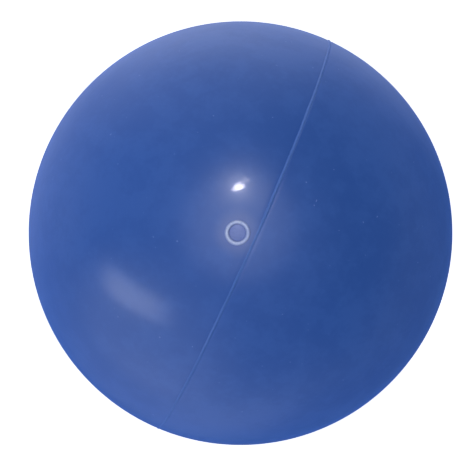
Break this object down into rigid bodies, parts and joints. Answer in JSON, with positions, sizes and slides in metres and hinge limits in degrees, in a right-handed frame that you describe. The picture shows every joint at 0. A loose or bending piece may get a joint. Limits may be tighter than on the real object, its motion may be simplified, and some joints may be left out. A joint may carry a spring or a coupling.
{
  "type": "medicine ball",
  "caption": "Soft gel-filled medicine ball: welded vinyl half shells with a raised seam line and a small flush-plugged filling valve.",
  "frame": {"origin": "the ball's centre", "axes": "+Z out along the filling valve's axis; the seam's plane holds the Y axis and leans 3.7 degrees about it, passing the valve on its +X side; -Z is down when the ball stands valve up"},
  "size_m": [0.15, 0.1506, 0.1503],
  "materials": {
    "blue_vinyl": "glossy soft vinyl",
    "weld_vinyl": "glossy",
    "pale_vinyl": "satin",
    "plug_vinyl": "satin",
    "gel": "clear soft gel"
  },
  "bodies": {
    "ball": {"shell_with_valve": "blue_vinyl", "shell_plain": "blue_vinyl", "seam_weld": "weld_vinyl", "valve_bush": "pale_vinyl", "gel_fill": "gel"},
    "plug": {"valve_plug": "plug_vinyl"}
  },
  "joints": [
    {"name": "plug_pull", "type": "slide", "parent": "ball", "child": "plug", "axis": [0, 0, 1], "range_m": [0, 0.025]}
  ]
}
